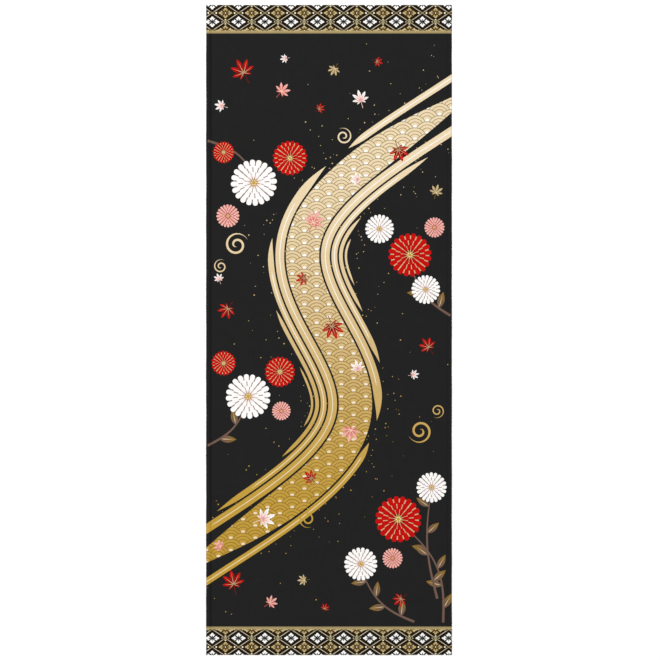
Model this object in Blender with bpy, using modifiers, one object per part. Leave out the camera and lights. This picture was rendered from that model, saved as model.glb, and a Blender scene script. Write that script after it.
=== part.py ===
"""A tenugui, the printed cotton hand towel, laid out flat with its printed side up.

The real towel is one cut length of plain-weave cotton. Its two long edges are woven
selvages, its two short ends are bare cuts, and nothing is hemmed or sewn on, so the whole
towel is one solid sheet. It lies on the XY plane with its length along Y. The underside is
flat, the two selvages stand a little proud, and the face swells softly between its edges,
as a cloth does when it has been smoothed out by hand.
"""

import math

import bpy

# Driving sizes, in metres.
CLOTH_WIDTH = 0.340
CLOTH_LENGTH = 0.900
SHEET_THICKNESS = 0.0010

# A selvage is a denser, thicker band along each long edge.
SELVAGE_WIDTH = 0.0060
SELVAGE_RISE = 0.0003
SELVAGE_SLOPE = 0.0015

# The face swells by this much at most. Every edge lies flat for FLAT_MARGIN, and the swell
# then grows over SWELL_FADE.
SWELL_HEIGHT = 0.0006
FLAT_MARGIN = 0.018
SWELL_FADE = 0.070

# The swell is a sum of shallow waves, one row each: the distance across the cloth and along
# it in which the wave repeats, where it starts, in turns, and its share of the height.
WAVE_COLUMNS = ("across", "along", "start", "share")
WAVES = (
    (0.46, 0.29, 0.10, 0.45),
    (-0.27, 0.37, 0.35, 0.30),
    (0.19, 0.95, 0.70, 0.25),
)

# The face is a grid of about this spacing between the selvages and along the cloth.
GRID_SPACING = 0.019

CLOTH_COLOUR = (0.055, 0.048, 0.042, 1.0)
CLOTH_ROUGHNESS = 0.9


def clear_scene():
    for old in list(bpy.data.objects):
        bpy.data.objects.remove(old)


def smooth_step(amount):
    held = min(max(amount, 0.0), 1.0)
    return held * held * (3.0 - 2.0 * held)


def inside_edge(distance):
    """0 along the flat margin of an edge, and 1 once the swell has its full height."""
    return smooth_step((distance - FLAT_MARGIN) / SWELL_FADE)


def swell(x, y):
    """How far the face stands above the flat sheet at a place, in metres."""
    total = 0.0
    for row in WAVES:
        wave = dict(zip(WAVE_COLUMNS, row))
        turns = x / wave["across"] + y / wave["along"] + wave["start"]
        total += wave["share"] * (0.5 + 0.5 * math.cos(2.0 * math.pi * turns))
    across = inside_edge(CLOTH_WIDTH / 2 - abs(x))
    along = inside_edge(CLOTH_LENGTH / 2 - abs(y))
    return SWELL_HEIGHT * total * across * along


def selvage_rise(x):
    """The extra thickness of the band along each long edge, with its slope on both sides."""
    from_edge = CLOTH_WIDTH / 2 - abs(x)
    outer = smooth_step(from_edge / SELVAGE_SLOPE)
    inner = smooth_step((SELVAGE_WIDTH - from_edge) / SELVAGE_SLOPE)
    return SELVAGE_RISE * outer * inner


def even_places(low, high, spacing):
    """Places from low to high, both included, in equal steps of about the spacing."""
    steps = max(1, round((high - low) / spacing))
    return [low + (high - low) * step / steps for step in range(steps + 1)]


def columns_across():
    """The grid's places along X: both slopes of each selvage, and even steps between them."""
    edge = CLOTH_WIDTH / 2
    ground = edge - SELVAGE_WIDTH
    band = [edge, edge - SELVAGE_SLOPE, ground + SELVAGE_SLOPE]
    right = sorted(band)
    left = [-place for place in band]
    return left + even_places(-ground, ground, GRID_SPACING) + right


def rows_along():
    """The grid's places along Y: the flat margin at each end, and even steps between them."""
    edge = CLOTH_LENGTH / 2
    field = edge - FLAT_MARGIN
    return [-edge] + even_places(-field, field, GRID_SPACING) + [edge]


def flat_grid(name, columns, rows):
    """A flat open grid at z = 0 whose lines stand at the given places."""
    bpy.ops.mesh.primitive_grid_add(
        x_subdivisions=len(columns) - 1, y_subdivisions=len(rows) - 1, size=1.0
    )
    grid = bpy.context.object
    grid.name = name
    for vertex in grid.data.vertices:
        column = round((vertex.co.x + 0.5) * (len(columns) - 1))
        row = round((vertex.co.y + 0.5) * (len(rows) - 1))
        vertex.co = (columns[column], rows[row], 0.0)
    return grid


def thickened(grid):
    """The grid as a closed slab from z = 0 up to the sheet's thickness."""
    solidify = grid.modifiers.new("Thickness", "SOLIDIFY")
    solidify.thickness = SHEET_THICKNESS
    solidify.offset = 1.0
    graph = bpy.context.evaluated_depsgraph_get()
    slab = bpy.data.meshes.new_from_object(grid.evaluated_get(graph))
    grid.modifiers.remove(solidify)
    old, grid.data = grid.data, slab
    bpy.data.meshes.remove(old)
    return grid


def cotton():
    """Printed cotton, in the tone that its black ground and gold figures make together."""
    material = bpy.data.materials.new("printed_cotton")
    material.use_nodes = True
    shader = material.node_tree.nodes["Principled BSDF"]
    shader.inputs["Base Color"].default_value = CLOTH_COLOUR
    shader.inputs["Roughness"].default_value = CLOTH_ROUGHNESS
    shader.inputs["Metallic"].default_value = 0.0
    return material


def build_towel():
    """The towel: a flat slab whose upper face then takes its selvages and its swell."""
    towel = thickened(flat_grid("towel", columns_across(), rows_along()))
    for vertex in towel.data.vertices:
        x, y, z = vertex.co
        if z > SHEET_THICKNESS / 2:
            vertex.co.z = SHEET_THICKNESS + selvage_rise(x) + swell(x, y)
    towel.data.name = "towel"
    towel.data.materials.clear()
    towel.data.materials.append(cotton())
    return towel


def main():
    clear_scene()
    collection = bpy.data.collections.new("Tenugui towel")
    bpy.context.scene.collection.children.link(collection)
    towel = build_towel()
    for other in list(towel.users_collection):
        other.objects.unlink(towel)
    collection.objects.link(towel)
    highest = max(vertex.co.z for vertex in towel.data.vertices)
    print(f"towel {CLOTH_WIDTH} x {CLOTH_LENGTH} m, highest point {highest * 1000:.2f} mm")


main()
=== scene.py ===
# %% [markdown]
# # A printed cotton hand towel, laid out flat
#
# The real towel is one length of thin plain-weave cotton. Both long edges are woven
# selvages, both short ends are bare cuts, and one face is printed. This lesson builds the
# cloth as a thin closed sheet, and cuts the print's shapes into its mesh, so that every
# motif has a clean edge at any distance and no picture file is needed.

# %% Load the frame
import math
import random

import bmesh
import bpy
import numpy as np
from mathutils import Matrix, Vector
from mathutils.geometry import delaunay_2d_cdt


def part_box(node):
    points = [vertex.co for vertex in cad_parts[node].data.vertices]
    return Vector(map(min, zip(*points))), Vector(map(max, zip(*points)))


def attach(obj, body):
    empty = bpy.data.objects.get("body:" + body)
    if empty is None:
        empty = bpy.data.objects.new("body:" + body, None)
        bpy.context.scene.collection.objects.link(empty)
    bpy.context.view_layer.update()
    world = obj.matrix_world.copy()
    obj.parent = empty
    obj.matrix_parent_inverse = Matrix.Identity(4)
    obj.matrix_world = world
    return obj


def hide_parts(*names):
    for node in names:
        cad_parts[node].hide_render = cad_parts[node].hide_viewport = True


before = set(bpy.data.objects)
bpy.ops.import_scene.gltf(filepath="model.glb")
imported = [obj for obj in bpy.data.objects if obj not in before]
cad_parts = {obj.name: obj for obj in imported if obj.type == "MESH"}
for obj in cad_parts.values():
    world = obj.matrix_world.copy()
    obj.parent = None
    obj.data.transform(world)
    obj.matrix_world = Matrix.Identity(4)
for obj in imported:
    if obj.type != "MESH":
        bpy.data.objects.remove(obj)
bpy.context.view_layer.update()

low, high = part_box("towel")
CLOTH_WIDTH = high[0] - low[0]
CLOTH_LENGTH = high[1] - low[1]
print(f"cloth {CLOTH_WIDTH * 1000:.0f} by {CLOTH_LENGTH * 1000:.0f} mm")

# %% [markdown]
# Values that come in rows are kept in tables. Each row becomes a dictionary, so a function
# can take it by the names of its columns.

# %% Tables


def table(columns, *rows):
    names = columns.split()
    return [dict(zip(names, row)) for row in rows]


print(table("side end", ("left", "top"), ("right", "foot")))

# %% [markdown]
# ## How the cloth lies
#
# Cotton that has been smoothed by hand still swells a little here and there. The swell is a
# sum of three long shallow waves, held flat along every edge. These are the waves of the
# plain model, so this sheet lies where that one does. A real sheet would also lift by less
# than a hair elsewhere, which no eye can see from a step away.

# %% The swell of the cloth
FLAT_MARGIN = 0.018
SWELL_FADE = 0.070
SWELL_HEIGHT = 0.0006
WAVES = table(
    "across along start share",
    (0.46, 0.29, 0.1, 0.45),
    (-0.27, 0.37, 0.35, 0.3),
    (0.19, 0.95, 0.7, 0.25),
)


def smooth_step(amount):
    held = min(max(amount, 0.0), 1.0)
    return held * held * (3.0 - 2.0 * held)


def swell(x, y):
    """How far the cloth stands off the surface under it, in metres."""
    total = 0.0
    for wave in WAVES:
        turns = x / wave["across"] + y / wave["along"] + wave["start"]
        total += wave["share"] * (0.5 + 0.5 * math.cos(2.0 * math.pi * turns))
    across = smooth_step((CLOTH_WIDTH / 2 - abs(x) - FLAT_MARGIN) / SWELL_FADE)
    along = smooth_step((CLOTH_LENGTH / 2 - abs(y) - FLAT_MARGIN) / SWELL_FADE)
    return SWELL_HEIGHT * total * across * along


print(f"swell at the centre {swell(0.0, 0.0) * 1000:.2f} mm")

# %% [markdown]
# ## How thick the cloth is
#
# This cotton is about half a millimetre thick, and its selvages, where the weft turns back,
# are a little denser and thicker. The extra thickness slopes off on both sides of the band.

# %% The thickness of the cloth
COTTON_THICKNESS = 0.0005
SELVAGE_WIDTH = 0.006
SELVAGE_SLOPE = 0.0015
SELVAGE_RISE = 0.00018
# Where the painted shade line inside each selvage starts, is full and ends, from the edge of the
# cloth.
PAINTED_SHADE_LINE = (SELVAGE_WIDTH - SELVAGE_SLOPE, SELVAGE_WIDTH, 0.0066, 0.0081)


def thickness(x):
    from_edge = CLOTH_WIDTH / 2 - abs(x)
    outer = smooth_step(from_edge / SELVAGE_SLOPE)
    inner = smooth_step((SELVAGE_WIDTH - from_edge) / SELVAGE_SLOPE)
    return COTTON_THICKNESS + SELVAGE_RISE * outer * inner


print(f"thickness {thickness(0.0) * 1000:.2f} mm, selvage {thickness(0.167) * 1000:.2f} mm")

# %% [markdown]
# ## The dyes
#
# The printer used a handful of dyes. They are written here as the red, green and blue that
# the eye sees, from 0 to 255. Blender's shaders count light itself, so each is turned into
# linear values first. The studio light is a little over full, which turns the paper under
# the cloth pure white, and the dyes are weakened by as much. A shape in the print asks a
# small function for its colour at a place, so it can shade softly from one dye to another.

# %% The dyes and how they shade
STUDIO_LIGHT = 1.12
DYES = {
    "black": (31, 31, 31),
    "warm black": (28, 20, 8),
    "white": (253, 252, 249),
    "cream": (252, 243, 212),
    "lattice": (204, 192, 168),
    "olive gold": (158, 146, 108),
    "gold": (148, 132, 94),
    "bright gold": (204, 182, 136),
    "petal gold": (206, 186, 138),
    "band gold": (182, 161, 110),
    "bronze": (64, 47, 14),
    "pale gold": (236, 215, 177),
    "deep gold": (192, 154, 60),
    "old gold": (139, 106, 40),
    "blush": (244, 209, 200),
    "pink": (240, 177, 166),
    "rose": (212, 92, 92),
    "red": (194, 10, 8),
    "dark red": (122, 4, 10),
    "brown": (112, 88, 76),
    "dust": (150, 132, 128),
}


def linear(channel):
    share = channel / 255
    if share <= 0.04045:
        return share / 12.92
    return ((share + 0.055) / 1.055) ** 2.4


def dye(name):
    return tuple(linear(channel) / STUDIO_LIGHT for channel in DYES[name])


def even(name):
    """The same dye all over."""
    colour = dye(name)
    return lambda x, y: colour


def blended(first, second, share):
    held = smooth_step(share)
    return tuple(a + (b - a) * held for a, b in zip(first, second))


def outwards(inner, outer, centre, start, stop):
    """Shades from one dye to another with the distance from a centre."""
    near, far = dye(inner), dye(outer)

    def colour(x, y):
        distance = math.hypot(x - centre[0], y - centre[1])
        return blended(near, far, (distance - start) / (stop - start))

    return colour


def down_the_cloth(upper, lower, top, bottom):
    """Shades from one dye to another down the length of the cloth."""
    first, second = dye(upper), dye(lower)
    return lambda x, y: blended(first, second, (top - y) / (top - bottom))


print(f"{len(DYES)} dyes; black reflects {dye('black')[0]:.3f} of the light")

# %% [markdown]
# ## The print as stacked shapes
#
# The print is drawn in millimetres from the middle of the cloth, with y towards its top.
# Shapes are laid one on another, as a stencil printer lays colours, and the last one laid
# wins. A shape may be kept inside another, such as waves inside their stream.

# %% Laying shapes
HALF_WIDTH = CLOTH_WIDTH * 500
HALF_LENGTH = CLOTH_LENGTH * 500
print_shapes = []


def lay(outline, colour, inside=None):
    """Adds a closed outline to the print, and returns its number in the stack."""
    print_shapes.append({"outline": outline, "colour": colour, "inside": inside})
    return len(print_shapes) - 1


def placed(outline, centre, across=1.0, along=1.0, turn=0.0):
    """An outline drawn round (0, 0), stretched, turned anticlockwise and moved to its place."""
    cosine, sine = math.cos(math.radians(turn)), math.sin(math.radians(turn))
    moved = []
    for x, y in outline:
        x, y = x * across, y * along
        moved.append((centre[0] + x * cosine - y * sine, centre[1] + x * sine + y * cosine))
    return moved


def round_outline(steps):
    turns = [2.0 * math.pi * step / steps for step in range(steps)]
    return [(math.cos(turn), math.sin(turn)) for turn in turns]


def both_halves(right):
    """A closed outline from its right half, drawn upwards from its middle line."""
    left = [(-x, y) for x, y in reversed(right) if x > 0.0]
    return list(right) + left


def ribbon(line, half_widths):
    """A strip along a line. Where its half width is 0 the strip ends in a point."""
    right, left = [], []
    for index, (x, y) in enumerate(line):
        before = line[max(index - 1, 0)]
        after = line[min(index + 1, len(line) - 1)]
        run, rise = after[0] - before[0], after[1] - before[1]
        length = math.hypot(run, rise)
        step_x = -rise / length * half_widths[index]
        step_y = run / length * half_widths[index]
        left.append((x + step_x, y + step_y))
        if half_widths[index] > 0.0:
            right.append((x - step_x, y - step_y))
    return right + left[::-1]


def pointed(share, tip):
    """The width of a strip that narrows to a point over the tip's share of each end."""
    nearest = min(1.0, share / tip, (1.0 - share) / tip)
    return math.sin(math.pi / 2 * max(nearest, 0.0))


DOT = round_outline(8)
DIAMOND = [(0.0, -1.0), (1.0, 0.0), (0.0, 1.0), (-1.0, 0.0)]

# %% [markdown]
# ## The edges of the cloth
#
# A selvage is never quite straight, and scissors wander across a cut end by a thread or so.
# The first shape in the stack is the whole cloth in its black ground, and its outline
# carries that unevenness, which stays under a fifth of a millimetre.

# %% The black ground
EDGE_STEP = 4.0
WANDER = 0.15


def even_places(first, last, spacing):
    steps = max(1, round(abs(last - first) / spacing))
    return [first + (last - first) * step / steps for step in range(steps + 1)]


def selvage_at(y, side):
    wave = math.sin(y / 17.0 + side) + 0.6 * math.sin(y / 6.3 + 2.0 * side)
    return side * (HALF_WIDTH + WANDER * (wave / 1.6 - 0.6))


def cut_at(x, end):
    wave = math.sin(x / 23.0 + 2.0 * end) + 0.5 * math.sin(x / 5.1 - end)
    return end * (HALF_LENGTH + WANDER * (wave / 1.5 - 0.6))


def cloth_outline():
    across = even_places(-HALF_WIDTH, HALF_WIDTH, EDGE_STEP)[1:-1]
    along = even_places(-HALF_LENGTH, HALF_LENGTH, EDGE_STEP)[1:-1]
    corners = {
        (side, end): (selvage_at(end * HALF_LENGTH, side), cut_at(side * HALF_WIDTH, end))
        for side in (-1, 1)
        for end in (-1, 1)
    }
    lower = [corners[-1, -1]] + [(x, cut_at(x, -1)) for x in across]
    right = [corners[1, -1]] + [(selvage_at(y, 1), y) for y in along]
    upper = [corners[1, 1]] + [(x, cut_at(x, 1)) for x in reversed(across)]
    left = [corners[-1, 1]] + [(selvage_at(y, -1), y) for y in reversed(along)]
    return lower + right + upper + left


GROUND = lay(cloth_outline(), even("black"))
print(f"the ground has {len(print_shapes[GROUND]['outline'])} points")

# %% [markdown]
# ## The border: a flower-lozenge lattice
#
# Each end carries the old woven-silk pattern of flowers in lozenges. Pale lines cross to
# make flat diamonds, and each holds a flower of four three-lobed petals, in rows that are
# white and gold by turns. The pattern is one repeat, drawn once and set out by two sizes.
# It runs off the edges of the cloth, and a gold band closes it towards the middle.

# %% The sizes of the lattice
REPEAT_ACROSS = 36.38
REPEAT_ALONG = 24.5
FIRST_COLUMN = -16.1
FIRST_WHITE_ROW = -1.2
LATTICE_DEPTH = 35.5
BAND_DEPTH = 39.4
LATTICE_LINE = 0.95
SIDE_CROSSING = 4.2
TOP_CROSSING = 5.6
WAIST_ALONG = 0.45
WAIST_ACROSS = 0.36
BRONZE_HALVES = (11.4, 8.6)
VEIN_HALF = 0.85
EYE_HALVES = (1.9, 1.5)
BESIDE_GOLD = 12.7
ABOVE_GOLD = 9.3
BESIDE_WHITE = 13.5

# The right half of a petal, from the flower's heart to the tip, as shares of the petal's
# breadth and length.
PETAL = both_halves([
    (0.00, 0.09),
    (0.22, 0.34),
    (0.41, 0.48),
    (0.50, 0.57),
    (0.42, 0.66),
    (0.25, 0.67),
    (0.25, 0.76),
    (0.15, 0.91),
    (0.00, 1.00),
])
PETALS = table(
    "turn length breadth",
    (0, 7.5, 7.8),
    (90, 9.8, 6.3),
    (180, 7.5, 7.8),
    (270, 9.8, 6.3),
)

# %% One flower, and one lozenge


def lozenge_flower(centre, petal, vein, reach, size, inside, spread=1.0):
    """Four petals round a dark eye, each with a vein over a share of its length."""
    for part in PETALS:
        turn = part["turn"]
        scale = size if turn in (0, 180) else size * spread
        length = part["length"] * scale
        lay(placed(PETAL, centre, part["breadth"] * scale, length, turn), petal, inside)
        angle, along = math.radians(turn + 90), length * reach / 2
        middle = (centre[0] + along * math.cos(angle), centre[1] + along * math.sin(angle))
        lay(placed(DIAMOND, middle, VEIN_HALF, along, turn), vein, inside)
    lay(placed(DIAMOND, centre, *EYE_HALVES), vein, inside)


def lozenge_lines(centre, colour, inside):
    """The four sides of a lozenge, each shared with a neighbour in the next row."""
    side, top = REPEAT_ACROSS / 2, REPEAT_ALONG / 2
    corners = [
        (centre[0] + side, centre[1]),
        (centre[0], centre[1] + top),
        (centre[0] - side, centre[1]),
        (centre[0], centre[1] - top),
    ]
    for first, second in zip(corners, corners[1:] + corners[:1]):
        lay(ribbon([first, second], [LATTICE_LINE / 2] * 2), colour, inside)


def crossing(centre, colour, reach, inside):
    """The heavier X where two lines cross, waisted between its arms."""
    slope_x, slope_y = REPEAT_ACROSS / 2, REPEAT_ALONG / 2
    length = math.hypot(slope_x, slope_y)
    arm = (reach * slope_x / length, reach * slope_y / length)
    right, top = arm[0] * WAIST_ACROSS, arm[1] * WAIST_ALONG
    star = [
        (arm[0], arm[1]), (0.0, top), (-arm[0], arm[1]), (-right, 0.0),
        (-arm[0], -arm[1]), (0.0, -top), (arm[0], -arm[1]), (right, 0.0),
    ]
    lay(placed(star, centre), colour, inside)


# %% Set out both borders


def gold_lozenge(centre, inside, dots, spread):
    x, y = centre
    lozenge_lines(centre, even("lattice"), inside)
    crossing((x - REPEAT_ACROSS / 2, y), even("gold"), SIDE_CROSSING, inside)
    for side in (1, -1):
        crossing((x, y + side * REPEAT_ALONG / 2), even("olive gold"), TOP_CROSSING, inside)
    lay(placed(DIAMOND, centre, *BRONZE_HALVES), even("bronze"), inside)
    petal = outwards("old gold", "petal gold", centre, 1.5, 6.5)
    lozenge_flower(centre, petal, even("bronze"), 0.78, 0.96, inside, spread)
    lay(placed(DOT, centre, 0.8, 0.95), even("cream"), inside)
    for side in (-1, 1):
        lay(placed(DOT, (x + side * BESIDE_GOLD, y), 1.15, 1.35), even(dots), inside)
        above = (x, y + side * ABOVE_GOLD)
        lay(placed(DIAMOND, above, *EYE_HALVES), even("olive gold"), inside)
        lay(placed(DOT, above, 0.75, 0.7), even("cream"), inside)


def white_lozenge(centre, inside):
    x, y = centre
    lozenge_flower(centre, even("white"), even("black"), 0.64, 1.0, inside)
    for side in (-1, 1):
        lay(placed(DOT, (x + side * BESIDE_WHITE, y), 0.8, 0.95), even("lattice"), inside)


def strip(first, second, end):
    """A plain strip across the cloth between two depths from one end."""
    reach = HALF_WIDTH + 2.0
    top, bottom = end * (HALF_LENGTH - first), end * (HALF_LENGTH - second)
    return [(-reach, bottom), (reach, bottom), (reach, top), (-reach, top)]


# The flowers of the second gold row are cut through the middle by the band. Their side
# petals spread wider, and the dots next to them are gold, so that they run into it.
GOLD_ROWS = table("dots spread", ("cream", 1.0), ("bright gold", 1.25))

for end in (1, -1):
    zone = lay(strip(-2.0, LATTICE_DEPTH, end), even("warm black"))
    for row, gold_row in enumerate(GOLD_ROWS):
        white_y = end * (HALF_LENGTH - FIRST_WHITE_ROW - row * REPEAT_ALONG)
        gold_y = white_y - end * REPEAT_ALONG / 2
        for column in range(-6, 7):
            white_x = FIRST_COLUMN + column * REPEAT_ACROSS
            gold_x = white_x + REPEAT_ACROSS / 2
            if abs(white_x) < HALF_WIDTH + REPEAT_ACROSS / 2:
                white_lozenge((white_x, white_y), zone)
            if abs(gold_x) < HALF_WIDTH + REPEAT_ACROSS / 2:
                gold_lozenge((gold_x, gold_y), zone, **gold_row)
    inner, outer = end * (HALF_LENGTH - BAND_DEPTH), end * (HALF_LENGTH - LATTICE_DEPTH)
    lay(strip(LATTICE_DEPTH, BAND_DEPTH, end), down_the_cloth("band gold", "gold", outer, inner))
print(f"both borders: {len(print_shapes)} shapes")

# %% [markdown]
# ## The middle: a stream in long strands
#
# The middle carries a stock motif of the craft, a stream drawn as strands that start, swell
# and end in points, with black showing between them. The strands follow one winding line at
# set distances from it, so the whole stream bends as one. The gold is shaded by hand from
# pale at the top to deep at the bottom.

# %% The winding line
STREAM_TOP = (150.0, 300.0)
STREAM_FOOT = (-150.0, -300.0)
STREAM_SWING = 100.0
STREAM_STEP = 6.0
ROUGH_STEPS = 60


def on_stream(travel, offset):
    """A place on the stream, from 0 at its top to 1 at its foot, and so far to one side."""
    turn = 2.0 * math.pi * travel
    run, rise = STREAM_FOOT[0] - STREAM_TOP[0], STREAM_FOOT[1] - STREAM_TOP[1]
    x = STREAM_TOP[0] + run * travel - STREAM_SWING * math.sin(turn)
    y = STREAM_TOP[1] + rise * travel
    slope = run - 2.0 * math.pi * STREAM_SWING * math.cos(turn)
    length = math.hypot(slope, rise)
    return (x - rise / length * offset, y + slope / length * offset)


def along_stream(start, stop, offset):
    """Places along the stream at one distance from its line, about a step apart."""

    def in_steps(steps):
        run = stop - start
        return [on_stream(start + run * step / steps, offset) for step in range(steps + 1)]

    rough = in_steps(ROUGH_STEPS)
    length = sum(math.dist(a, b) for a, b in zip(rough, rough[1:]))
    return in_steps(max(4, round(length / STREAM_STEP)))


print(f"the stream passes {on_stream(0.5, 0.0)} and {on_stream(0.25, 0.0)}")

# %% Lay the strands
STRANDS = table(
    "start stop offset width",
    (-0.07, 1.07, 0, 46),
    (-0.07, 0.7, 31.5, 12),
    (0.16, 1.07, -31.5, 12),
    (0.74, 1.07, 30, 9),
    (-0.07, 0.12, -30, 9),
    (0.04, 0.6, 44, 8),
    (0.3, 0.98, -44, 8),
    (0.18, 0.5, 53, 5),
    (0.42, 0.86, -53, 5),
    (0.24, 0.44, 60, 3),
    (0.54, 0.78, -60, 3),
)
GLINT_INSET = 0.08
GLINT_WIDTH = 1.1
stream_gold = down_the_cloth("pale gold", "deep gold", 260.0, -260.0)
glint = down_the_cloth("white", "pale gold", 200.0, -260.0)


def strand(start, stop, offset, width, colour):
    line = along_stream(start, stop, offset)
    count = len(line) - 1
    tip = min(0.5, 3.5 * width / (count * STREAM_STEP))
    halves = [width / 2 * pointed(step / count, tip) for step in range(count + 1)]
    halves[0] = halves[-1] = 0.0
    return lay(ribbon(line, halves), colour)


main_stream, *_ = [strand(colour=stream_gold, **row) for row in STRANDS]
for row in STRANDS[1:7]:
    inset = (row["stop"] - row["start"]) * GLINT_INSET
    strand(row["start"] + inset, row["stop"] - inset, row["offset"], GLINT_WIDTH, glint)
print(f"{len(STRANDS)} strands")

# %% [markdown]
# ## Waves in the stream
#
# The widest strand is filled with the overlapping wave scales that weavers and potters have
# used for centuries. Each scale stands in front of the two above it, so of its circle only
# the top shows, between two shoulders, and below it is bounded by the tops of three others.
# All tops have their points at the same angles, so neighbours share them exactly.

# %% One scale
SCALE = 17.0
SCALE_LINE = 0.9
RING_SHARES = (1.0, 0.74, 0.48)
# How far from upright, in degrees, the scales next to it and below it cut a scale's top.
SHOULDER = 60.555
NECK = 7.422
SLOPE_STEPS = 4
SCALE_DOT = 3.4


def top_of_circle(x, y, radius, first, last, steps):
    """Part of a circle between two angles from upright, which count to the right."""
    angles = [math.radians(first + (last - first) * step / steps) for step in range(steps + 1)]
    return [(x + radius * math.sin(angle), y + radius * math.cos(angle)) for angle in angles]


def whole_top(x, y, radius):
    """The top of a scale's circle, or of a smaller ring in it, from right to left."""
    right = top_of_circle(x, y, radius, SHOULDER, NECK, SLOPE_STEPS)
    left = top_of_circle(x, y, radius, -NECK, -SHOULDER, SLOPE_STEPS)
    return right + left


def fan_outline(x, y):
    left = top_of_circle(x - SCALE, y - SCALE / 2, SCALE, NECK, SHOULDER, SLOPE_STEPS)
    right = top_of_circle(x + SCALE, y - SCALE / 2, SCALE, -SHOULDER, -NECK, SLOPE_STEPS)
    return whole_top(x, y, SCALE) + left[1:] + right[:-1]


def nearest_on_stream(place):
    steps = [on_stream(step / 100, 0.0) for step in range(-8, 109)]
    return min(math.dist(place, other) for other in steps)


# %% Lay the scales
line_gold = down_the_cloth("gold", "old gold", 300.0, -100.0)
scales = 0
for row in range(-39, 39):
    for column in range(-6, 7):
        x, y = (column + (row % 2) / 2) * 2 * SCALE, row * SCALE / 2
        if nearest_on_stream((x, y + SCALE / 2)) > STRANDS[0]["width"] / 2 + 0.9 * SCALE:
            continue
        scales += 1
        fan = lay(fan_outline(x, y), stream_gold, main_stream)
        for share in RING_SHARES:
            outer = whole_top(x, y, SCALE * share)
            inner = whole_top(x, y, SCALE * share - SCALE_LINE)
            lay(outer + inner[::-1], line_gold, fan)
        lay(placed(round_outline(12), (x, y), SCALE_DOT, SCALE_DOT), glint, fan)
print(f"{scales} scales")

# %% Curls where the stream eddies
CURLS = table(
    "x y radius turn hand",
    (-128, 118, 17, 20, 1),
    (-150, 88, 10, 60, 1),
    (126, -140, 17, 200, 1),
    (150, -112, 10, 240, 1),
    (20, 268, 12, 120, -1),
    (-30, -262, 12, 300, -1),
)
CURL_TURNS = 1.7
CURL_STEPS = 34
CURL_CLOSES = 0.86
CURL_BREADTH = 0.09
CURL_TIP = 0.3


def curl(x, y, radius, turn, hand):
    line, halves = [], []
    for step in range(CURL_STEPS + 1):
        share = step / CURL_STEPS
        angle = math.radians(turn) + hand * 2.0 * math.pi * CURL_TURNS * share
        reach = radius * (1.0 - CURL_CLOSES * share)
        line.append((x + reach * math.cos(angle), y + reach * math.sin(angle)))
        halves.append(radius * CURL_BREADTH * pointed(share, CURL_TIP))
    halves[0] = halves[-1] = 0.0
    lay(ribbon(line, halves), stream_gold)


for row in CURLS:
    curl(**row)
print(f"{len(CURLS)} curls")

# %% [markdown]
# ## Stems and leaves
#
# Brown stems rise towards the flowers. A stem is a ribbon along a bent line, thick at its
# foot, and its leaves are pointed ovals with a pale midrib, set on it by turns left and
# right. They are laid before the flowers, so the flowers cover their ends.

# %% Lay the stems
STEMS = table(
    "x y to_x to_y bend leaves",
    (158, -405, 100, -268, -22, 5),
    (150, -372, 142, -220, 10, 4),
    (118, -404, 44, -330, 14, 4),
    (-168, 262, -100, 206, 12, 2),
    (168, 20, 112, 96, 12, 3),
    (-168, -160, -112, -92, -12, 3),
)
LEAF_SHARES = [step / 8 for step in range(9)]
LEAF = both_halves([(0.5 * math.sin(math.pi * share ** 0.85), share) for share in LEAF_SHARES])
LEAF[0] = (0.0, 0.0)
RIB = both_halves([(0.0, 0.05), (0.03, 0.3), (0.0, 0.86)])
LEAF_BREADTH = 0.42
LEAF_LENGTH = 24.0
LEAF_ANGLE = 52
STEM_STEP = 6.0


def leaf(centre, length, turn, colour, rib):
    lay(placed(LEAF, centre, length * LEAF_BREADTH, length, turn), colour)
    lay(placed(RIB, centre, length, length, turn), rib)


def stem(x, y, to_x, to_y, bend, leaves):
    run, rise = to_x - x, to_y - y
    length = math.hypot(run, rise)
    heading = math.degrees(math.atan2(rise, run)) - 90
    steps = max(6, round(length / STEM_STEP))
    line = []
    for step in range(steps + 1):
        share = step / steps
        aside = bend * math.sin(math.pi * share)
        middle = (x + run * share, y + rise * share)
        line.append((middle[0] - rise / length * aside, middle[1] + run / length * aside))
    for number in range(leaves):
        share = (number + 0.7) / (leaves + 0.4)
        side = 1 if number % 2 else -1
        place = line[round(share * steps)]
        colour = outwards("brown", "old gold", place, 4.0, LEAF_LENGTH)
        turn = heading + side * LEAF_ANGLE
        leaf(place, LEAF_LENGTH - 3.0 * share, turn, colour, even("bright gold"))
    lay(ribbon(line, [1.7 - 1.0 * step / steps for step in range(steps + 1)]), even("brown"))


for row in STEMS:
    stem(**row)
print(f"{len(STEMS)} stems")

# %% [markdown]
# ## Chrysanthemums
#
# The full-blown chrysanthemum is a common figure on such cloths: rings of narrow petals,
# round at the tip, around a small gold heart. Each ring is one disc in the dye of its
# edges with separate petals on it, so fine lines stay between the petals. Every petal is
# shaded from a deeper dye near the heart to a paler one at its tip.

# %% One chrysanthemum
TINTS = {
    "white": {"tip": "white", "root": "blush", "line": "dust", "gap": 0.55},
    "pink": {"tip": "pink", "root": "rose", "line": "dark red", "gap": 0.45},
    "red": {"tip": "red", "root": "dark red", "line": "bright gold", "gap": 0.15},
}
RINGS = table(
    "petals inner outer",
    (20, 0.42, 1.0),
    (16, 0.24, 0.74),
    (12, 0.1, 0.47),
)
HEART = 0.15
SEEDS = 6
SEED_RING = 0.09
SEED_SIZE = 0.025
PETAL_SHARES = (0.0, 0.4, 0.7, 0.88, 0.97, 1.0)
NARROW_PETAL = both_halves(
    [(0.5 * share ** 0.75 * math.sqrt(1.0 - share ** 9), share) for share in PETAL_SHARES]
)


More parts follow.
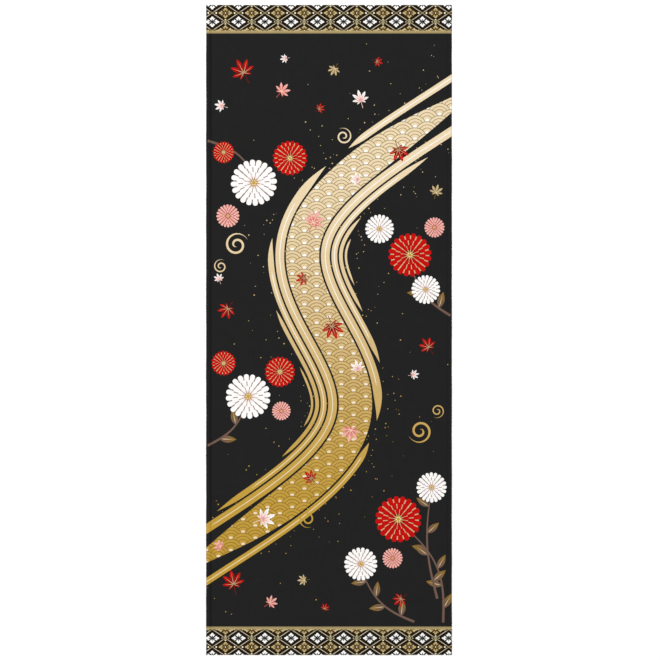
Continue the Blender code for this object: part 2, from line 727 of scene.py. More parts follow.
def chrysanthemum(x, y, radius, tint, turn=0.0):
    centre, dyes = (x, y), TINTS[tint]
    for ring in RINGS:
        outer, inner = ring["outer"] * radius, ring["inner"] * radius
        breadth = 2.0 * math.pi * outer * 0.95 / ring["petals"] - dyes["gap"]
        petal = outwards(dyes["root"], dyes["tip"], centre, inner, outer * 0.8)
        lay(placed(round_outline(22), centre, outer * 0.9, outer * 0.9), even(dyes["line"]))
        for number in range(ring["petals"]):
            angle = turn + 360.0 * (number + 0.5 * (ring is RINGS[1])) / ring["petals"]
            way = math.radians(angle + 90)
            root = (x + inner * math.cos(way), y + inner * math.sin(way))
            lay(placed(NARROW_PETAL, root, breadth, outer - inner, angle), petal)
    lay(placed(round_outline(16), centre, radius * HEART, radius * HEART), even("deep gold"))
    for number in range(SEEDS):
        way = math.radians(turn + 360 / SEEDS * number)
        seed = (x + radius * SEED_RING * math.cos(way), y + radius * SEED_RING * math.sin(way))
        lay(placed(DOT, seed, radius * SEED_SIZE, radius * SEED_SIZE), even("cream"))


# %% Lay the chrysanthemums
FLOWERS = table(
    "x y radius tint turn",
    (-104, 204, 32, "white", 4),
    (-54, 238, 24, "red", 9),
    (-140, 158, 16, "pink", 2),
    (-146, 246, 15, "red", 11),
    (112, 104, 30, "red", 7),
    (70, 140, 20, "white", 0),
    (134, 56, 20, "white", 12),
    (146, 142, 14, "pink", 5),
    (-112, -92, 31, "white", 5),
    (-68, -58, 21, "red", 8),
    (-146, -46, 17, "red", 3),
    (-66, -112, 13, "pink", 9),
    (96, -262, 32, "red", 6),
    (142, -218, 21, "white", 1),
    (44, -324, 23, "white", 10),
    (88, -316, 14, "pink", 4),
)
for row in FLOWERS:
    chrysanthemum(**row)
print(f"{len(FLOWERS)} chrysanthemums, {len(print_shapes)} shapes so far")

# %% [markdown]
# ## Maple leaves
#
# Maple leaves drift down the cloth and on the stream. A maple leaf is seven pointed lobes
# with saw teeth, so its outline is made lobe by lobe from one short profile, and a thin
# vein runs up every lobe.

# %% One maple leaf
LOBES = table(
    "angle reach",
    (-124, 0.5),
    (-82, 0.78),
    (-41, 0.93),
    (0, 1.0),
    (41, 0.93),
    (82, 0.78),
    (124, 0.5),
)
# One side of a lobe, from its foot to its tip, as shares of its reach.
LOBE_SIDE = ((0.155, 0.52), (0.135, 0.58), (0.160, 0.67), (0.105, 0.74), (0.095, 0.84))
VALLEY = 0.36


def lobe_outline(lobe):
    """Both sides of one lobe, from its left foot over its tip to its right foot."""
    way = math.radians(90 - lobe["angle"])
    ahead, beside = (math.cos(way), math.sin(way)), (math.sin(way), -math.cos(way))
    left = [(-across, along) for across, along in LOBE_SIDE]
    outline = []
    for across, along in [*left, (0.0, 1.0), *reversed(LOBE_SIDE)]:
        reach, aside = along * lobe["reach"], across * lobe["reach"]
        outline.append((
            ahead[0] * reach + beside[0] * aside,
            ahead[1] * reach + beside[1] * aside,
        ))
    return outline


def maple_outline():
    outline = [(0.0, -0.10)]
    for index, lobe in enumerate(LOBES):
        outline += lobe_outline(lobe)
        if index < len(LOBES) - 1:
            between = math.radians(90 - (lobe["angle"] + LOBES[index + 1]["angle"]) / 2)
            outline.append((VALLEY * math.cos(between), VALLEY * math.sin(between)))
    return outline


MAPLE = maple_outline()
MAPLE_TINTS = {
    "red": {"heart": "dark red", "tip": "red", "vein": "bright gold"},
    "pink": {"heart": "rose", "tip": "pink", "vein": "cream"},
    "white": {"heart": "blush", "tip": "white", "vein": "rose"},
    "gold": {"heart": "old gold", "tip": "bright gold", "vein": "cream"},
}


def maple(x, y, size, tint, turn):
    centre, dyes = (x, y), MAPLE_TINTS[tint]
    whole = lay(
        placed(MAPLE, centre, size, size, turn),
        outwards(dyes["heart"], dyes["tip"], centre, 0.1 * size, 0.75 * size),
    )
    for lobe in LOBES:
        vein = both_halves([(0.0, 0.0), (0.022, 0.1), (0.0, 0.85 * lobe["reach"])])
        lay(placed(vein, centre, size, size, turn - lobe["angle"]), even(dyes["vein"]), whole)
    stalk = both_halves([(0.0, -0.75), (0.028, -0.72), (0.016, -0.08), (0.0, 0.0)])
    lay(placed(stalk, centre, size, size, turn), even(dyes["heart"]))


print(f"a maple leaf has {len(MAPLE)} points")

# %% Lay the maple leaves
MAPLES = table(
    "x y size tint turn",
    (-118, 356, 21, "red", 28),
    (-66, 330, 14, "pink", -40),
    (-148, 310, 11, "white", 75),
    (8, 362, 11, "gold", 150),
    (66, 372, 9, "red", -110),
    (96, 250, 18, "red", 200),
    (40, 208, 12, "white", 60),
    (-22, 148, 19, "pink", -25),
    (-34, 72, 13, "red", 110),
    (4, 6, 20, "red", -160),
    (40, -54, 13, "white", 15),
    (30, -138, 18, "pink", 170),
    (-24, -206, 14, "red", 45),
    (-92, -262, 19, "white", -70),
    (-132, -352, 20, "red", 12),
    (-82, -378, 12, "pink", -55),
    (-34, -346, 10, "gold", 95),
    (100, -372, 13, "red", 130),
    (148, 190, 12, "gold", -15),
    (-140, 30, 16, "red", 145),
    (-152, 70, 9, "white", 20),
    (138, -24, 15, "red", 35),
    (116, -62, 9, "white", -80),
    (-60, 376, 8, "white", 100),
    (44, 318, 15, "white", 15),
    (-14, 306, 9, "red", -60),
    (-150, -300, 11, "pink", 60),
    (-6, -386, 8, "red", -20),
)
for row in MAPLES:
    maple(**row)
print(f"{len(MAPLES)} maple leaves")

# %% [markdown]
# ## Sprinkled gold
#
# Crumbs of gold leaf are scattered on both sides of the stream, thick near it and thin
# further out, as a lacquer maker shakes them through a bamboo tube. They fall anywhere, so
# each is checked against the strands, flowers, leaves and curls, and left out where it
# would land on one. The seed is fixed, so the same crumbs fall each time.

# %% Scatter the gold crumbs
CRUMBS = 640
CRUMB_SEED = 11
CRUMB_SIZES = (0.45, 1.25)
NEAREST = 24.0
THINS_OVER = 24.0
FURTHEST = 110.0
shaken = random.Random(CRUMB_SEED)
crumb_gold = down_the_cloth("bright gold", "deep gold", 260.0, -260.0)
taken = [(row["x"], row["y"], row["radius"] * 1.08) for row in FLOWERS]
taken += [(row["x"], row["y"], row["size"] * 1.1) for row in MAPLES]
taken += [(row["x"], row["y"], row["radius"] * 1.1) for row in CURLS]


def on_black(place, room):
    """Whether no flower, leaf or curl lies within so many millimetres of a place."""
    return all(math.dist(place, (x, y)) > radius + room for x, y, radius in taken)


def between_strands(travel, offset, room):
    """Whether no strand passes within so many millimetres of a place on the stream."""
    passing = [row for row in STRANDS if row["start"] < travel < row["stop"]]
    return all(abs(offset - row["offset"]) >= row["width"] / 2 + room for row in passing)


crumbs = 0
for _ in range(CRUMBS):
    travel, side = shaken.uniform(-0.05, 1.05), shaken.choice((-1, 1))
    offset = side * (NEAREST + min(shaken.expovariate(1 / THINS_OVER), FURTHEST))
    place, size = on_stream(travel, offset), shaken.uniform(*CRUMB_SIZES)
    crumb_turn, squash = shaken.uniform(0, 90), shaken.uniform(0.6, 1.0)
    in_field = abs(place[1]) < HALF_LENGTH - BAND_DEPTH - 6.0
    if in_field and on_black(place, size) and between_strands(travel, offset, size):
        lay(placed(DIAMOND, place, size, size * squash, crumb_turn), crumb_gold)
        crumbs += 1
print(f"{crumbs} crumbs of gold")

# %% [markdown]
# ## Cut the sheet along the print
#
# A constrained Delaunay triangulation takes all outlines at once, splits them where they
# cross, and fills the cloth with triangles that never straddle an edge of the print. It
# also says which outlines hold each triangle, so the topmost one gives the dye. Strips
# along the selvages and one half of the cloth join in as folds, which the dye runs across.
# So does a loose grid of points, because the swell needs some where the print has none.

# %% Outlines, folds and grid points
GRID_STEP = 14.0
MERGE = 1e-4
FAR = 2000.0


def block(left, right, bottom, top):
    return [(left, bottom), (right, bottom), (right, top), (left, top)]


folds = [block(-FAR, FAR, 0.0, FAR)]
for inset in (SELVAGE_SLOPE, *PAINTED_SHADE_LINE):
    reach = HALF_WIDTH - inset * 1000
    folds.append(block(-reach, reach, -FAR, FAR))


def anticlockwise(outline):
    area = sum(a[0] * b[1] - b[0] * a[1] for a, b in zip(outline, outline[1:] + outline[:1]))
    return outline if area > 0 else outline[::-1]


points, outlines = [], []
for outline in [shape["outline"] for shape in print_shapes] + folds:
    first = len(points)
    points.extend(Vector(place) for place in anticlockwise(outline))
    outlines.append(list(range(first, len(points))))
first_of_grid = len(points)
for x in even_places(-HALF_WIDTH + 8.0, HALF_WIDTH - 8.0, GRID_STEP):
    for y in even_places(-HALF_LENGTH + 5.0, HALF_LENGTH - 5.0, GRID_STEP):
        points.append(Vector((x, y)))
places, _, triangles, sources, _, holders = delaunay_2d_cdt(points, [], outlines, 0, MERGE, True)
print(f"{len(outlines)} outlines make {len(triangles)} triangles")

# %% Find the shape on top of each triangle


def shows(index, there):
    """Whether a shape shows where these lie: it must be inside the one that keeps it."""
    keeper = print_shapes[index]["inside"]
    return keeper is None or (keeper in there and shows(keeper, there))


def label(holding):
    """The topmost shape over a triangle, and the folds that hold it too."""
    shapes = {index for index in holding if index < len(print_shapes)}
    top = max(index for index in shapes if shows(index, shapes))
    return top, frozenset(holding) - shapes


def edges_of(face):
    return zip(face, face[1:] + face[:1])


owners = {}
for face, holding in zip(triangles, holders):
    if GROUND in holding:
        owners.update(dict.fromkeys(edges_of(face), label(holding)))
parting = {edge: owner for edge, owner in owners.items() if owners.get(edge[::-1]) != owner}
print(f"{len(owners) // 3} triangles on the cloth, {len(parting)} edges part two of its shapes")

# %% [markdown]
# Most outlines run on unseen under other shapes. Only the edges that part two shapes are
# worth keeping, so the cloth is filled a second time, from those edges and the grid alone.
# The labels then spread from the parting edges through the new triangles.

# %% Fill the cloth again, from the edges that show
on_grid = {
    number for number, source in enumerate(sources) if max(source, default=0) >= first_of_grid
}
chosen = sorted(on_grid.union(*parting))
renumbered = {old: new for new, old in enumerate(chosen)}
given = [(renumbered[first], renumbered[second]) for first, second in parting]
owners = list(parting.values())
known = [places[number] for number in chosen]
places, lines, triangles, _, line_sources, _ = delaunay_2d_cdt(known, given, [], 0, MERGE, True)
triangles = [tuple(face) for face in triangles]

# An edge may have been split on the way, so each piece takes its way round from the whole.
parting = {}
for (first, second), source in zip(lines, line_sources):
    for number in source:
        start, stop = given[number]
        same_way = (places[second] - places[first]).dot(known[stop] - known[start]) > 0.0
        parting[(first, second) if same_way else (second, first)] = owners[number]


def spread(triangles, parting):
    """The label of every triangle. It stays None off the cloth."""
    face_at = {edge: number for number, face in enumerate(triangles) for edge in edges_of(face)}
    labels = [None] * len(triangles)
    waiting = []
    for edge, owner in parting.items():
        if edge in face_at:
            labels[face_at[edge]] = owner
            waiting.append(face_at[edge])
    while waiting:
        number = waiting.pop()
        for edge in edges_of(triangles[number]):
            beyond = face_at.get(edge[::-1])
            walled = edge in parting or edge[::-1] in parting
            if not walled and beyond is not None and labels[beyond] is None:
                labels[beyond] = labels[number]
                waiting.append(beyond)
    return labels


kept, colours = [], []
for face, owner in zip(triangles, spread(triangles, parting)):
    if owner is not None:
        colour = print_shapes[owner[0]]["colour"]
        kept.append(face)
        colours.append([colour(places[corner].x, places[corner].y) for corner in face])
print(f"{len(kept)} triangles on the printed face, {len(places)} points")

# %% [markdown]
# ## The sheet
#
# The printed face is copied downwards by the cloth's thickness, turned over, and joined to
# it by a wall along every open edge, which makes a thin closed sheet. The colours are kept
# in an attribute of the mesh named dye, one for each corner of each triangle, so the back
# and the edges know which dye soaked through to them.

# %% Build the closed sheet


def open_edges(faces):
    """The edges that only one face uses, each in the direction in which it uses it."""
    used = {}
    for face in faces:
        used.update(dict.fromkeys(edges_of(face), face))
    return {edge: face for edge, face in used.items() if edge[::-1] not in used}


def sheet_points():
    front, back = [], []
    for place in places:
        x, y = place.x / 1000, place.y / 1000
        rest = swell(x, y)
        front.append((x, y, rest + thickness(x)))
        back.append((x, y, rest))
    return front + back


shift = len(places)
colour_at = {}
for face, three in zip(kept, colours):
    colour_at.update({(face, corner): colour for corner, colour in zip(face, three)})
walls, wall_colours = [], []
for (first, second), face in open_edges(kept).items():
    walls.append((second, first, first + shift, second + shift))
    near, far = colour_at[face, first], colour_at[face, second]
    wall_colours.append([far, near, near, far])
backs = [tuple(corner + shift for corner in face[::-1]) for face in kept]
back_colours = [three[::-1] for three in colours]

mesh = bpy.data.meshes.new("cotton_sheet")
mesh.from_pydata(sheet_points(), [], kept + backs + walls)
mesh.update()
print(f"{len(kept)} + {len(backs)} triangles and {len(walls)} walls")

# %% [markdown]
# A painted shade runs down the inner side of each selvage as a slightly darker line,
# stronger on the left. It is painted as a power a little over one on each dye, so it
# deepens black most, and leaves white, which has no dye, as it is.

# %% Store the dyes
# How deep the painted shade line along each selvage is, left and right.
PAINTED_SHADE_DEPTH = {-1: 0.15, 1: 0.04}


def painted_selvage_shade(x):
    """The power of the painted shade line inside each selvage at a place, where 1 is none, as in
    the middle.
    """
    from_edge = CLOTH_WIDTH / 2 - np.abs(x)
    band = np.interp(from_edge, PAINTED_SHADE_LINE, [0.0, 1.0, 1.0, 0.0])
    return 1.0 + band * np.where(x < 0, PAINTED_SHADE_DEPTH[-1], PAINTED_SHADE_DEPTH[1])


corner_points = np.empty(len(mesh.loops), dtype=np.int32)
mesh.loops.foreach_get("vertex_index", corner_points)
point_places = np.empty(len(mesh.vertices) * 3, dtype=np.float32)
mesh.vertices.foreach_get("co", point_places)
corner_x = point_places.reshape(-1, 3)[corner_points, 0]
every_corner = np.ones((len(mesh.loops), 4), dtype=np.float32)
every_corner[:, :3] = [colour for face in colours + back_colours + wall_colours for colour in face]
# Painted shade: each dye is darkened in a line along each selvage.
every_corner[:, :3] **= painted_selvage_shade(corner_x)[:, None]
dye_layer = mesh.color_attributes.new(name="dye", type="FLOAT_COLOR", domain="CORNER")
dye_layer.data.foreach_set("color", every_corner.ravel())
reds = every_corner[:, 0]
print(f"{len(reds)} corners, their red from {reds.min():.4f} to {reds.max():.3f}")

# %% [markdown]
# An exported model carries its colours in a square texture, which needs the whole sheet laid
# out flat in that square. The printed face takes most of it, cut in two at the fold across
# its middle. The back lies below, turned and smaller, and each wall has a small cell.

# %% Lay the sheet out for a texture
MAP_SIDE = 0.698
MAP_GAP = 0.006
BACK_SCALE = 0.65
WALLS_ACROSS = 21
WALL_CELL = Vector((0.0045, 0.0042))
WALL_SIZE = Vector((0.0034, 0.0028))


def front_map(face):
    lower = sum(places[corner].y for corner in face) < 0.0
    left = MAP_GAP + CLOTH_WIDTH / 2 + (MAP_GAP + CLOTH_WIDTH) * lower
    bottom = MAP_SIDE - MAP_GAP - CLOTH_LENGTH / 2 * (1 - lower)
    return [(left + places[c].x / 1000, bottom + places[c].y / 1000) for c in face]


def back_map(face):
    middle = Vector((CLOTH_LENGTH, CLOTH_WIDTH)) / 2
    rows = [middle + Vector((places[c - shift].y, places[c - shift].x)) / 1000 for c in face]
    return [row * BACK_SCALE + Vector((MAP_GAP, MAP_GAP)) for row in rows]


def wall_map(number):
    column, row = number % WALLS_ACROSS, number // WALLS_ACROSS
    left = CLOTH_LENGTH * BACK_SCALE + 2 * MAP_GAP + column * WALL_CELL.x
    bottom = MAP_GAP + row * WALL_CELL.y
    right, top = left + WALL_SIZE.x, bottom + WALL_SIZE.y
    return [(left, top), (right, top), (right, bottom), (left, bottom)]


laid_out = [place for face in kept for place in front_map(face)]
laid_out += [place for face in backs for place in back_map(face)]
laid_out += [place for number in range(len(walls)) for place in wall_map(number)]
layout = np.array([tuple(place) for place in laid_out], dtype=np.float32) / MAP_SIDE
mesh.uv_layers.new(name="OFBake").data.foreach_set("uv", layout.ravel())
print(f"the layout fills {layout.min(0).round(3)} to {layout.max(0).round(3)} of the square")

# %% Material slots and smooth faces
slots = [0] * len(kept) + [1] * len(backs) + [2] * len(walls)
mesh.polygons.foreach_set("material_index", slots)
mesh.polygons.foreach_set("use_smooth", [number < 2 for number in slots])


def in_scene(name, data):
    """A new object with this mesh, lamp or camera, at the origin."""
    made = bpy.data.objects.new(name, data)
    bpy.context.scene.collection.objects.link(made)
    return made


sheet = in_scene("printed_sheet", mesh)
print(f"{sheet.name}: {len(mesh.vertices)} points, {len(mesh.polygons)} faces")

# %% [markdown]
# ## Cotton, thread by thread
#
# Plain weave passes each yarn over one and under one, so its face is a chequer of small
# pillows. Two sine waves, one across the warp and one across the weft, multiply to exactly
# that: the product's size is the pillow's height, and its sign says which yarn is on top.
# Each yarn also swells and thins along its length, which a noise makes that is numbered by
# the yarn. The group reads Object coordinates, so the weave keeps its real size.

# %% Helpers for building node trees


def add(tree, kind, inputs=(), **settings):
    """Adds a node with its settings, and gives its inputs a value or a link each."""
    node = tree.nodes.new(kind)
    for name, value in settings.items():
        setattr(node, name, value)
    for key, value in dict(inputs).items():
        if isinstance(value, bpy.types.NodeSocket):
            tree.links.new(value, node.inputs[key])
        else:
            node.inputs[key].default_value = value
    return node


def maths(tree, operation, first, second=0.0):
    return add(tree, "ShaderNodeMath", {0: first, 1: second}, operation=operation).outputs[0]


def ranged(tree, value, low, high, to_low, to_high):
    ends = {"From Min": low, "From Max": high, "To Min": to_low, "To Max": to_high}
    return add(tree, "ShaderNodeMapRange", {"Value": value, **ends}).outputs["Result"]


def noise(tree, place, scale, detail=2.0, roughness=0.5):
    inputs = {"Vector": place, "Scale": scale, "Detail": detail, "Roughness": roughness}
    return add(tree, "ShaderNodeTexNoise", inputs).outputs


def finish(name, even_all_over):
    """A new material, with what is even all over set on its shader's own sockets."""
    material = bpy.data.materials.new(name)
    material.use_nodes = True
    shader = material.node_tree.nodes["Principled BSDF"]
    for socket, value in even_all_over.items():
        shader.inputs[socket].default_value = value
    return material, material.node_tree, shader


# %% The weave
YARNS_PER_METRE = 2000.0
WEFT_SHARE = 0.93
YARN_WANDER = (0.0004, 0.0004, 0.0)


def plain_weave():
    tree = bpy.data.node_groups.new("plain weave", "ShaderNodeTree")
    tree.interface.new_socket(name="Place", in_out="INPUT", socket_type="NodeSocketVector")
    for name in ("Height", "Warp on top", "Slub"):
        tree.interface.new_socket(name=name, in_out="OUTPUT", socket_type="NodeSocketFloat")
    given = add(tree, "NodeGroupInput").outputs["Place"]
    aside = add(
        tree, "ShaderNodeVectorMath",
        {0: noise(tree, given, 90.0)["Color"], 1: YARN_WANDER, 2: given},
        operation="MULTIPLY_ADD",
    )
    split = add(tree, "ShaderNodeSeparateXYZ", {0: aside.outputs[0]})
    warp = maths(tree, "MULTIPLY", split.outputs["X"], YARNS_PER_METRE)
    weft = maths(tree, "MULTIPLY", split.outputs["Y"], YARNS_PER_METRE * WEFT_SHARE)
    wave = maths(
        tree, "MULTIPLY",
        maths(tree, "SINE", maths(tree, "MULTIPLY", warp, math.pi)),
        maths(tree, "SINE", maths(tree, "MULTIPLY", weft, math.pi)),
    )
    on_top = ranged(tree, wave, -0.12, 0.12, 0.0, 1.0)
    pillow = maths(tree, "POWER", maths(tree, "ABSOLUTE", wave), 0.6)

    def slub(number, along):
        """Each yarn's own thick and thin places, by its number and the way along it."""
        seat = add(tree, "ShaderNodeCombineXYZ", {
            "X": maths(tree, "MULTIPLY", maths(tree, "FLOOR", number), 7.31),
            "Y": maths(tree, "MULTIPLY", along, 38.0),
        })
        return noise(tree, seat.outputs[0], 1.0)["Fac"]

    warp_slub = slub(warp, split.outputs["Y"])
    weft_slub = slub(weft, split.outputs["X"])
    slubs = add(tree, "ShaderNodeMix", {0: on_top, 2: weft_slub, 3: warp_slub}).outputs[0]
    height = maths(tree, "MULTIPLY", pillow, ranged(tree, slubs, 0.3, 0.7, 0.65, 1.2))
    add(tree, "NodeGroupOutput", {"Height": height, "Warp on top": on_top, "Slub": slubs})
    return tree


weave = plain_weave()
print(f"weave group with {len(weave.nodes)} nodes")

# %% [markdown]
# ## The printed face, the back and the cut edge
#
# The three looks share one recipe. The dye comes from the mesh. It is a little lighter on
# the warp and on thick places of a yarn, and it is thin in the pits between yarns, where
# the cotton grins through. On the back only part of the dye has soaked through, in
# blotches. Cotton is matt, with a faint bloom of fibre ends that the sheen gives.

# %% Cotton materials
# The share of undyed cotton that shows all over, and in the pits.
SOAKED = {"printed_face": (0.0, 0.004), "soaked_back": (0.13, 0.09), "cut_edge": (0.06, 0.05)}
UNDYED = (0.80, 0.77, 0.70, 1.0)
LITTLE_GLOSS = {"Specular IOR Level": 0.06}
BLOOM = {"Sheen Weight": 0.01, "Sheen Roughness": 0.5}


def thinned(tree, share):
    """The mesh's dye, with so much of the undyed cotton showing."""
    dyed = add(tree, "ShaderNodeAttribute", attribute_name="dye").outputs["Color"]
    inputs = {"Factor": share, 6: dyed, 7: UNDYED}
    return add(tree, "ShaderNodeMix", inputs, data_type="RGBA").outputs[2]


def cotton(name, least, more):
    material, tree, shader = finish(name, LITTLE_GLOSS | BLOOM)
    place = add(tree, "ShaderNodeTexCoord").outputs["Object"]
    threads = add(tree, "ShaderNodeGroup", {"Place": place}, node_tree=weave).outputs
    tree.nodes[-1].label = "plain weave"
    blotch = noise(tree, place, 55.0, 5.0, 0.65)["Fac"]
    pits = ranged(tree, threads["Height"], 0.05, 0.45, more, 0.0)
    blotches = ranged(tree, blotch, 0.3, 0.7, 0.6, 1.4)
    colour = thinned(tree, maths(tree, "MULTIPLY", maths(tree, "ADD", pits, least), blotches))
    light = maths(
        tree, "MULTIPLY",
        ranged(tree, threads["Slub"], 0.3, 0.7, 0.90, 1.06),
        ranged(tree, threads["Warp on top"], 0.0, 1.0, 0.97, 1.02),
    )
    light = maths(tree, "MULTIPLY", light, ranged(tree, blotch, 0.3, 0.7, 0.965, 1.03))
    toned = add(
        tree, "ShaderNodeVectorMath", {0: colour, "Scale": light}, operation="SCALE"
    ).outputs[0]
    tree.links.new(toned, shader.inputs["Base Color"])
    tree.links.new(ranged(tree, threads["Slub"], 0.3, 0.7, 0.96, 0.84), shader.inputs["Roughness"])
    bump = add(tree, "ShaderNodeBump", {
        "Strength": 0.45, "Distance": 0.00012, "Height": threads["Height"]})
    tree.links.new(bump.outputs[0], shader.inputs["Normal"])
    return material


for name, (least, more) in SOAKED.items():
    sheet.data.materials.append(cotton(name, least, more))
print(f"materials: {[material.name for material in sheet.data.materials]}")

# %% [markdown]
# ## Yarns at the edges
#
# A hand towel of this kind has no hem. Stubs of the warp stand out of its cut ends, and at
# the selvages each weft yarn turns back in a tiny loop. Both are one yarn repeated along a
# line at a set spacing, so one node tree makes both. It places a yarn at every step of the
# line, points it outwards with a little lean, and gives it a length between two limits.

# %% The node tree
SOCKETS = {
    "Edge line": "NodeSocketGeometry",
    "Yarn": "NodeSocketObject",
    "Spacing": "NodeSocketFloat",
    "Lean": "NodeSocketFloat",
    "Shortest": "NodeSocketFloat",
    "Longest": "NodeSocketFloat",
    "Seed": "NodeSocketInt",
    "Material": "NodeSocketMaterial",
}


def yarns_along_a_line():
    tree = bpy.data.node_groups.new("yarns along a line", "GeometryNodeTree")
    for name, kind in SOCKETS.items():
        tree.interface.new_socket(name=name, in_out="INPUT", socket_type=kind)
    tree.interface.new_socket(name="Yarns", in_out="OUTPUT", socket_type="NodeSocketGeometry")
    given = add(tree, "NodeGroupInput").outputs
    line = add(tree, "GeometryNodeMeshToCurve", {"Mesh": given["Edge line"]}).outputs[0]
    steps = add(
        tree, "GeometryNodeCurveToPoints",
        {"Curve": line, "Length": given["Spacing"]}, mode="LENGTH",
    ).outputs["Points"]
    outward = add(
        tree, "GeometryNodeInputNamedAttribute", {"Name": "outward"}, data_type="FLOAT_VECTOR"
    ).outputs[0]
    any_way = add(
        tree, "FunctionNodeRandomValue",
        {0: (-1.0, -1.0, -0.3), 1: (1.0, 1.0, 0.3), "Seed": given["Seed"]},
        data_type="FLOAT_VECTOR",
    ).outputs[0]
    aside = add(
        tree, "ShaderNodeVectorMath", {0: any_way, "Scale": given["Lean"]}, operation="SCALE"
    ).outputs[0]
    way = add(tree, "ShaderNodeVectorMath", {0: outward, 1: aside}, operation="ADD").outputs[0]
    ahead = add(tree, "FunctionNodeAlignRotationToVector", {"Vector": way}, axis="Z").outputs[0]
    level = add(
        tree, "FunctionNodeAlignRotationToVector", {"Rotation": ahead, "Vector": (0.0, 0.0, 1.0)},
        axis="Y", pivot_axis="Z",
    ).outputs[0]
    length = add(
        tree, "FunctionNodeRandomValue",
        {2: given["Shortest"], 3: given["Longest"], "Seed": given["Seed"]}, data_type="FLOAT",
    ).outputs[1]
    size = add(tree, "ShaderNodeCombineXYZ", {"X": 1.0, "Y": 1.0, "Z": length}).outputs[0]
    yarn = add(
        tree, "GeometryNodeObjectInfo", {"Object": given["Yarn"], "As Instance": True}
    ).outputs["Geometry"]
    set_out = add(
        tree, "GeometryNodeInstanceOnPoints",
        {"Points": steps, "Instance": yarn, "Rotation": level, "Scale": size},
    ).outputs[0]
    real = add(tree, "GeometryNodeRealizeInstances", {"Geometry": set_out}).outputs[0]
    finished = add(
        tree, "GeometryNodeSetMaterial", {"Geometry": real, "Material": given["Material"]}
    ).outputs[0]
    add(tree, "NodeGroupOutput", {"Yarns": finished})
    return tree


yarn_tree = yarns_along_a_line()
print(f"yarn tree with {len(yarn_tree.nodes)} nodes")

# %% [markdown]
# The lines come from the walls of the sheet, halfway up. Each of their points knows which
# way is out of the cloth, and which dye the sheet has there, so the yarns match the print.

# %% The lines along the edges


def edge_line(name, along_selvages):
    """Both cut ends, or both selvages, as one mesh of edges."""
    numbers, edges = {}, []
    for wall in walls:
        second, first = wall[0], wall[1]
        at_side = all(abs(places[c].x) > HALF_WIDTH - 1.0 for c in (first, second))
        at_end = all(abs(places[c].y) > HALF_LENGTH - 1.0 for c in (first, second))
        if at_side == along_selvages and at_end != along_selvages:
            edges.append([numbers.setdefault(c, len(numbers)) for c in (first, second)])
    middles, ways, dyes = [], [], []
    for corner in numbers:
        x, y = places[corner].x / 1000, places[corner].y / 1000
        aside, ahead = math.copysign(1.0, x), math.copysign(1.0, y)
        ways.append((aside, 0.0, 0.0) if along_selvages else (0.0, ahead, 0.0))
        middles.append((x, y, swell(x, y) + COTTON_THICKNESS / 2))
        dyes.append((*dye_at_edge[corner], 1.0))
    line = bpy.data.meshes.new(name)
    line.from_pydata(middles, edges, [])
    outward = line.attributes.new("outward", "FLOAT_VECTOR", "POINT")
    outward.data.foreach_set("vector", np.ravel(ways))
    dye_layer = line.attributes.new("dye", "FLOAT_COLOR", "POINT")
    dye_layer.data.foreach_set("color", np.ravel(dyes))
    return in_scene(name, line)


dye_at_edge = {}
for wall, shades in zip(walls, wall_colours):
    dye_at_edge[wall[0]], dye_at_edge[wall[1]] = shades[0], shades[1]
cut_line = edge_line("cut ends", False)
selvage_line = edge_line("selvages", True)
for line in (cut_line, selvage_line):
    print(f"{line.name}: {len(line.data.edges)} edges")

# %% [markdown]
# A stub is a narrow cone with a blunt tip, one unit long, for the tree to stretch. A turn of
# the weft is the outer half of a small ring. Thousands of each are needed, so both stay
# under fifty triangles. Ends of yarn are a little paler than the cloth, since dye thins out
# where the twist opens.

# %% One stub, one turn, and their cotton
STUB_RADIUS = 0.00013
TURN_RADIUS = 0.00030
TURN_YARN = 0.00013



def to_origin(made):
    """The object at the origin and unturned, with its place and turn in its mesh."""
    made.data.transform(made.matrix_world)
    made.matrix_world.identity()
    return made


bpy.ops.mesh.primitive_cone_add(
    vertices=6, radius1=STUB_RADIUS, radius2=0.6 * STUB_RADIUS, depth=1.0, location=(0, 0, 0.5)
)
stub = to_origin(bpy.context.object)
bpy.ops.mesh.primitive_torus_add(
    major_segments=10, minor_segments=5, major_radius=TURN_RADIUS, minor_radius=TURN_YARN,
    rotation=(math.pi / 2, 0, 0),
)
loop = to_origin(bpy.context.object)
half_loop = bmesh.new()
half_loop.from_mesh(loop.data)
inner_half = [point for point in half_loop.verts if point.co.z < -0.3 * TURN_RADIUS]
bmesh.ops.delete(half_loop, geom=inner_half, context="VERTS")
half_loop.to_mesh(loop.data)
half_loop.free()


def yarn_cotton():
    material, tree, shader = finish("yarn_ends", LITTLE_GLOSS | {"Roughness": 0.95})
    place = add(tree, "ShaderNodeTexCoord").outputs["Object"]
    fibres = noise(tree, place, 2600.0)["Fac"]
    colour = thinned(tree, ranged(tree, fibres, 0.35, 0.75, 0.0, 0.06))
    tree.links.new(colour, shader.inputs["Base Color"])
    return material


yarn_material = yarn_cotton()
print(f"a stub has {len(stub.data.polygons)} faces, a turn {len(loop.data.polygons)}")

# %% Grow both kinds of yarn


def grown(name, line, inputs):
    """The yarns along a line, as a plain mesh with its own texture layout."""
    grower = line.modifiers.new("Yarns", "NODES")
    grower.node_group = yarn_tree
    for socket in yarn_tree.interface.items_tree:
        if socket.in_out == "INPUT" and socket.name in inputs:
            grower[socket.identifier] = inputs[socket.name]
    graph = bpy.context.evaluated_depsgraph_get()
    mesh = bpy.data.meshes.new_from_object(line.evaluated_get(graph))
    line.modifiers.remove(grower)
    mesh.name = name
    lay_out_yarns(mesh, len(inputs["Yarn"].data.vertices))
    return in_scene(name, mesh)


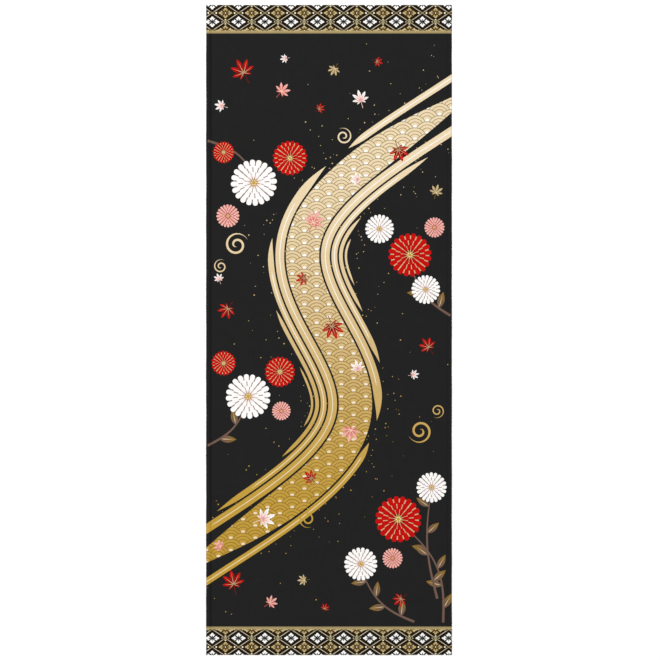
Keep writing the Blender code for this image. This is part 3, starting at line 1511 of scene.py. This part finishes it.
def lay_out_yarns(mesh, points_each):
    """Gives each yarn one cell of the square, with its points scattered round a circle."""
    count = len(mesh.vertices) // points_each
    across = math.ceil(math.sqrt(count))
    corners = np.empty(len(mesh.loops), dtype=np.int32)
    mesh.loops.foreach_get("vertex_index", corners)
    cell, point = np.divmod(corners, points_each)
    u = (cell % across + 0.5 + 0.35 * np.cos(2.4 * point)) / across
    v = (cell // across + 0.5 + 0.35 * np.sin(2.4 * point)) / across
    layer = mesh.uv_layers.new(name="OFBake")
    layer.data.foreach_set("uv", np.column_stack((u, v)).astype(np.float32).ravel())


STUBS, TURNS = table(
    "Yarn Material Spacing Lean Shortest Longest Seed",
    (stub, yarn_material, 0.0005, 0.45, 0.0002, 0.0006, 5),
    (loop, yarn_material, 0.00105, 0.12, 0.75, 1.05, 9),
)
stubs = grown("warp_stubs", cut_line, STUBS)
turns = grown("weft_turns", selvage_line, TURNS)
for helper in (cut_line, selvage_line, stub, loop):
    bpy.data.objects.remove(helper)
for piece in (stubs, turns):
    named = [layer.name for layer in piece.data.attributes if layer.name in ("dye", "OFBake")]
    print(f"{piece.name}: {len(piece.data.polygons)} faces, {named}")

# %% Attach each piece to the root body, and hide the plain towel
for piece in (sheet, stubs, turns):
    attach(piece, "root")
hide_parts("towel")
print("the sheet and its yarns ride on the plain model's body")

# %% [markdown]
# ## Floor, light and camera
#
# The towel was photographed straight from above on white, in light so soft that it throws
# no shadow. A bright even sky does that, and one large lamp high to the left adds just
# enough direction to show the weave and the selvages. A long lens keeps the four edges
# parallel, and a tiny shift to the right puts the cloth where the photograph has it.

# %% Floor
FLOOR_REACH = 6.0
FLOOR_DROP = 0.0002
PAPER_WHITE = (0.93, 0.93, 0.93, 1.0)
bpy.ops.mesh.primitive_plane_add(size=2 * FLOOR_REACH, location=(0.0, 0.0, -FLOOR_DROP))
floor = bpy.context.object
floor.name = "white_floor"
paper, *_ = finish("white_paper", {
    "Base Color": PAPER_WHITE, "Roughness": 1.0, "Specular IOR Level": 0.0})
floor.data.materials.append(paper)
print(f"the floor is {floor.dimensions.x:.0f} m wide")

# %% Sky and lamp
SKY_LIGHT = 0.92
LAMP_POWER = 26.0
LAMP_PLACE = Vector((-1.1, 1.0, 2.1))
LAMP_SIZE = 1.6
world = bpy.data.worlds.new("soft sky")
world.use_nodes = True
sky = world.node_tree.nodes["Background"].inputs
sky["Color"].default_value = (1.0, 1.0, 1.0, 1.0)
sky["Strength"].default_value = SKY_LIGHT
bpy.context.scene.world = world

lamp = bpy.data.lights.new("large lamp", "AREA")
lamp.shape = "SQUARE"
lamp.size = LAMP_SIZE
lamp.energy = LAMP_POWER
lamp_object = in_scene("large lamp", lamp)
lamp_object.location = LAMP_PLACE
lamp_object.rotation_euler = (-LAMP_PLACE).to_track_quat("-Z", "Y").to_euler()
print(f"the lamp is {LAMP_PLACE.length:.2f} m from the middle of the cloth")

# %% Camera
MM_PER_PIXEL = 900.0 / 650.0
PHOTO_PIXELS = 660
LENS = 100.0
SENSOR = 36.0
SHIFT_PIXELS = 1.0
view_width = PHOTO_PIXELS * MM_PER_PIXEL / 1000
camera = bpy.data.cameras.new("camera")
camera.lens = LENS
camera.sensor_width = SENSOR
camera.sensor_fit = "HORIZONTAL"
camera_object = in_scene("camera", camera)
camera_object.location = (
    SHIFT_PIXELS * MM_PER_PIXEL / 1000, 0.0, view_width * LENS / SENSOR + COTTON_THICKNESS
)
bpy.context.scene.camera = camera_object
bpy.context.scene.view_settings.view_transform = "Standard"
print(f"camera {camera_object.location.z:.3f} m above the cloth")
